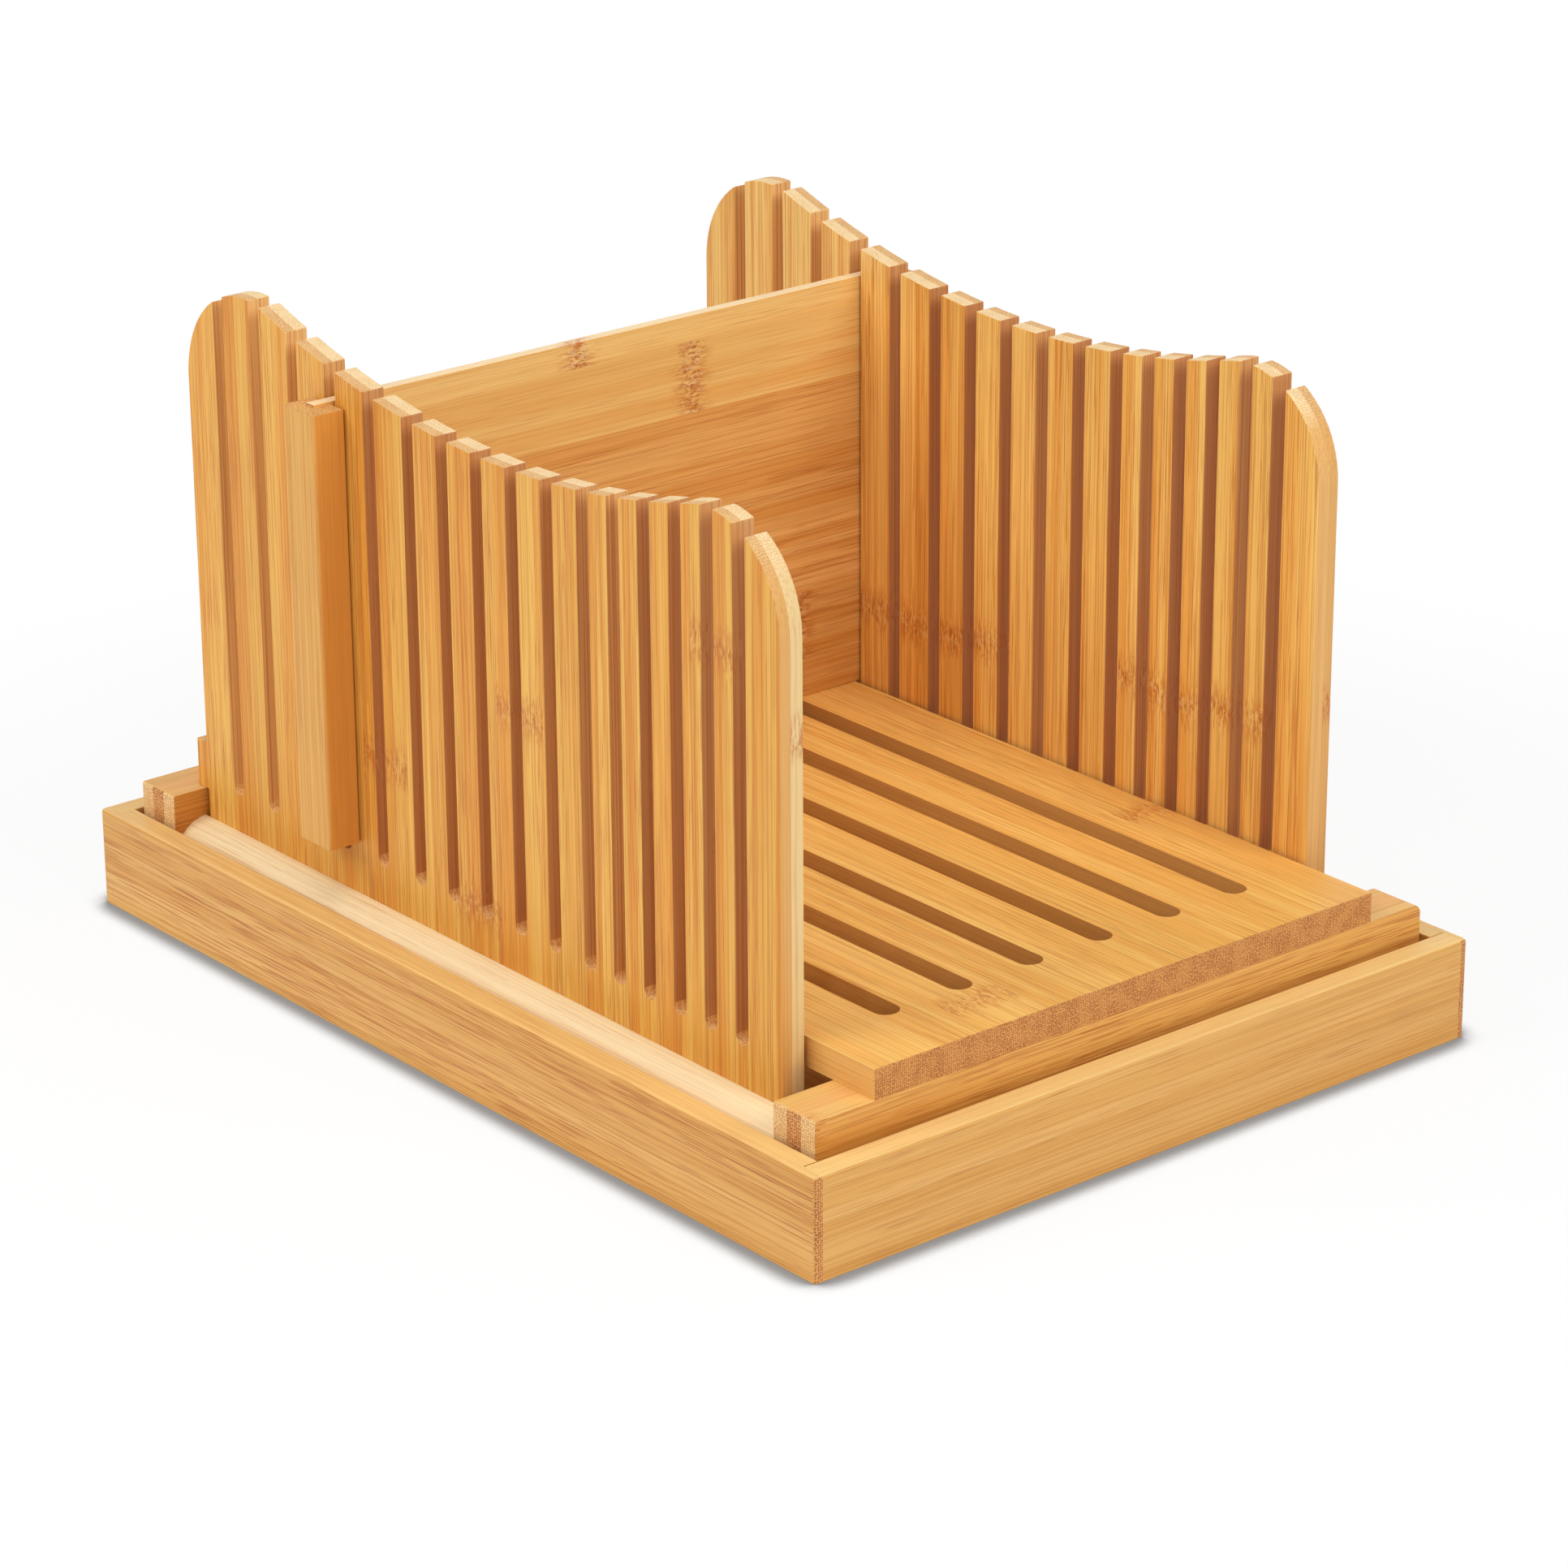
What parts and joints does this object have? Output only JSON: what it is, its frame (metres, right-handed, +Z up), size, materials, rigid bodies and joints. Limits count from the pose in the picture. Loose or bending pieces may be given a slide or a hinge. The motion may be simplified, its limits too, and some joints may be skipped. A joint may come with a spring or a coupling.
{
  "type": "bread slicer guide",
  "caption": "Bamboo bread slicing frame with slotted knife guides on both sides, a lift-out loaf stop and a crumb tray that it stands in.",
  "frame": {"origin": "on the table, under the middle of the crumb tray", "axes": "+Z up, +X across the loaf to the right, +Y towards the rear, where the stop stands; slices fall towards -Y"},
  "size_m": [0.23, 0.32, 0.1898],
  "materials": {
    "honey_bamboo": "satin, clear oiled bamboo with fine straight grain",
    "tray_bamboo": "satin, clear oiled bamboo with fine straight grain",
    "pale_bamboo": "satin, pale bamboo",
    "dark_bamboo": "satin, darker steamed bamboo ply",
    "dowel_wood": "plain sanded dowel"
  },
  "bodies": {
    "crumb_tray": {"tray_floor": "tray_bamboo", "tray_rail_front": "tray_bamboo", "tray_rail_left": "tray_bamboo", "tray_rail_rear": "tray_bamboo", "tray_rail_right": "tray_bamboo"},
    "slicing_frame": {"board_dowels": "dowel_wood", "bread_board": "honey_bamboo", "crossbar_front_inner_ply": "honey_bamboo", "crossbar_front_middle_ply": "dark_bamboo", "crossbar_front_outer_ply": "honey_bamboo", "crossbar_rear_inner_ply": "honey_bamboo", "crossbar_rear_middle_ply": "dark_bamboo", "crossbar_rear_outer_ply": "honey_bamboo", "foot_strip_left": "pale_bamboo", "foot_strip_right": "pale_bamboo", "guide_left_inner_ply": "honey_bamboo", "guide_left_outer_ply": "honey_bamboo", "guide_right_inner_ply": "honey_bamboo", "guide_right_outer_ply": "honey_bamboo", "strip_dowels": "dowel_wood"},
    "loaf_stop": {"stop_cleat_left": "honey_bamboo", "stop_cleat_right": "honey_bamboo", "stop_plank_1": "honey_bamboo", "stop_plank_2": "honey_bamboo", "stop_plank_3": "honey_bamboo", "stop_plank_4": "honey_bamboo", "stop_plank_5": "honey_bamboo", "stop_plank_6": "honey_bamboo", "stop_plank_7": "honey_bamboo"}
  },
  "joints": [
    {"name": "frame_lift", "type": "slide", "parent": "crumb_tray", "child": "slicing_frame", "axis": [0, 0, 1], "range_m": [0, 0.06]},
    {"name": "stop_lift", "type": "slide", "parent": "slicing_frame", "child": "loaf_stop", "axis": [0, 0, 1], "range_m": [0, 0.14]}
  ]
}
